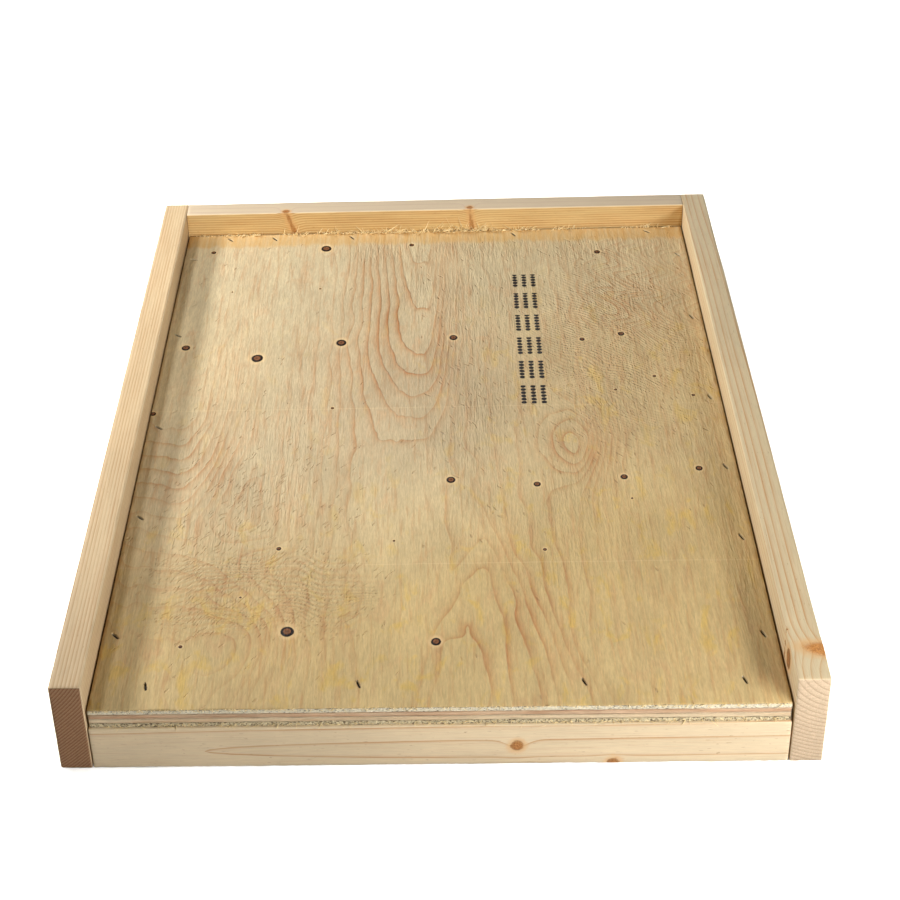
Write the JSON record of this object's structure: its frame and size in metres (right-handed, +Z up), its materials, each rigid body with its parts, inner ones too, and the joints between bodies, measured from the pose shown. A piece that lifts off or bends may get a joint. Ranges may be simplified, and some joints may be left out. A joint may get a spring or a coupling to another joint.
{
  "type": "langstroth hive floor",
  "caption": "Low wooden floor for a Langstroth hive: a pine frame, open at the front, around a recessed and stapled plywood deck.",
  "frame": {"origin": "on the ground, under the middle of the floor", "axes": "+X to the right, +Y to the back, +Z up; the open front, where the bees come in, faces -Y"},
  "size_m": [0.413, 0.5588, 0.058],
  "materials": {
    "rail_pine": "bare planed pine",
    "batten_pine": "bare sawn pine",
    "cleat_pine": "bare sawn pine",
    "ply_veneer": "bare rotary-cut pine veneer",
    "ply_core": "bare rotary-cut pine veneer",
    "staple_steel": "galvanised wire"
  },
  "bodies": {
    "root": {"side_rail_left": "rail_pine", "side_rail_right": "rail_pine", "back_rail": "rail_pine", "front_batten": "batten_pine", "cleat_left": "cleat_pine", "cleat_right": "cleat_pine", "cleat_back": "cleat_pine", "deck_face_ply": "ply_veneer", "deck_core_ply_upper": "ply_core", "deck_core_ply_lower": "ply_core", "deck_back_ply": "ply_veneer", "deck_staples_left": "staple_steel", "deck_staples_right": "staple_steel", "deck_staples_back": "staple_steel", "deck_staples_front": "staple_steel", "corner_staples_left": "staple_steel", "corner_staples_right": "staple_steel", "batten_staples_left": "staple_steel", "batten_staples_right": "staple_steel", "cleat_staples_left": "staple_steel", "cleat_staples_right": "staple_steel", "cleat_staples_back": "staple_steel"}
  },
  "joints": []
}
